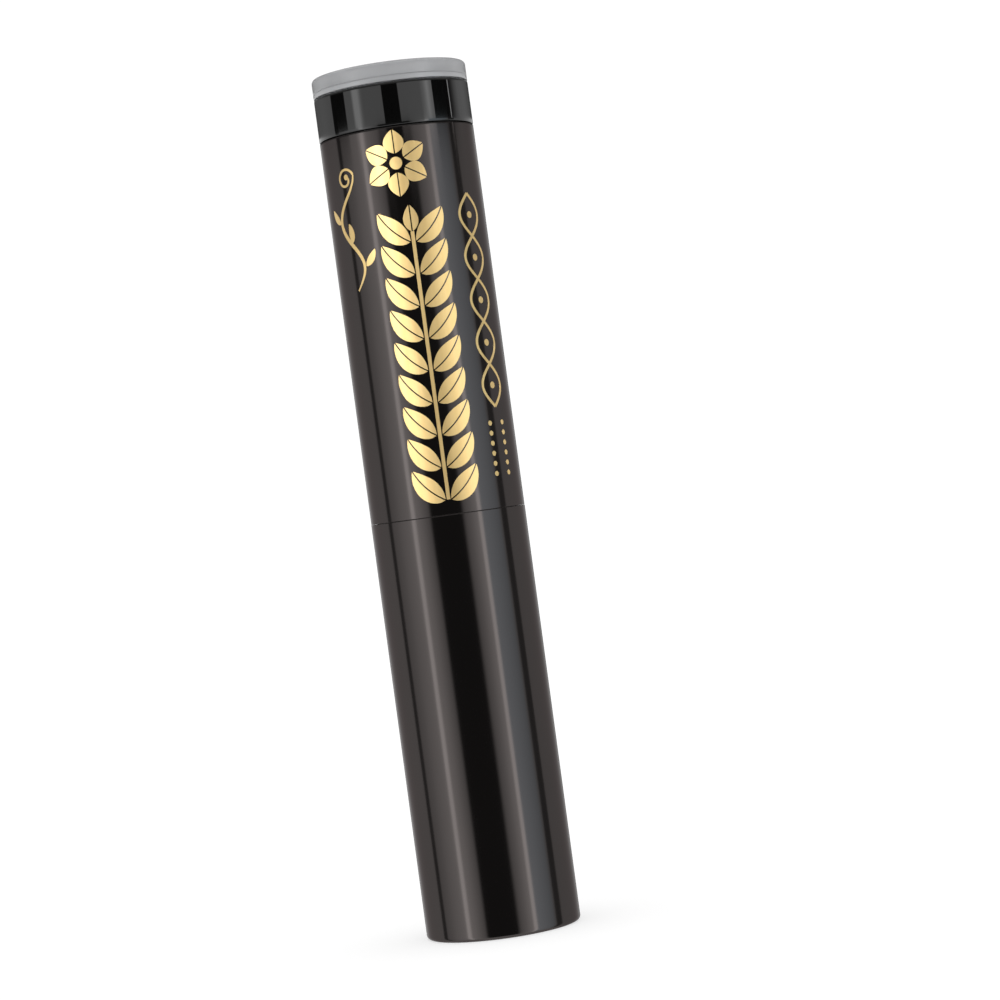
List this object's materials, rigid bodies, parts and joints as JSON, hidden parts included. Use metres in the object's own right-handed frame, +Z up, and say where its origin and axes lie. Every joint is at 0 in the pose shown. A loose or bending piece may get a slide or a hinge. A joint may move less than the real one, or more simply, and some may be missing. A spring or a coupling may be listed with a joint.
{
  "type": "lipstick case",
  "caption": "Slim twist-up lipstick case: a metallised base and pull-off cap over a turning sleeve that lifts a slanted lipstick bullet.",
  "frame": {"origin": "on the axis at the bottom of the foot that the closed case stands on", "axes": "+Z up the tube's axis towards the end of the cap, -Y towards the cap's ornament, +X to the right of someone who faces it"},
  "size_m": [0.0154, 0.0154, 0.0866],
  "materials": {
    "gunmetal_shell": "vacuum-metallised dark gun-metal, glossy",
    "gold_foil": "hot-stamped pale gold foil, the printed ornament on the cap",
    "black_gloss_plastic": "piano-black gloss",
    "clear_acrylic": "lightly frosted clear",
    "charcoal_plastic": "satin charcoal",
    "acetal": "natural white, moulded",
    "silicone": "soft grey",
    "label_paper": "blank sticker",
    "lipstick_wax": "matte dark wax"
  },
  "bodies": {
    "base": {"base_shell": "gunmetal_shell", "shade_label": "label_paper", "cam_tube": "acetal", "brake_ring": "silicone"},
    "sleeve": {"inner_sleeve": "charcoal_plastic", "collar": "charcoal_plastic"},
    "carriage": {"carrier": "acetal", "lipstick": "lipstick_wax"},
    "cap": {"cap_tube": "gunmetal_shell", "shade_plug": "black_gloss_plastic", "end_lens": "clear_acrylic"}
  },
  "joints": [
    {"name": "twist", "type": "hinge", "parent": "base", "child": "sleeve", "pos_m": [0, 0, 0.04], "axis": [0, 0, -1], "range_deg": [0, 360]},
    {"name": "bullet_rise", "type": "slide", "parent": "sleeve", "child": "carriage", "axis": [0, 0, 1], "range_m": [0, 0.0144]},
    {"name": "cap_pull", "type": "slide", "parent": "sleeve", "child": "cap", "axis": [0, 0, 1], "range_m": [0, 0.046]}
  ],
  "couplings": [
    {"joint": "twist", "follows": "bullet_rise", "rad_per_m": 436.33}
  ]
}
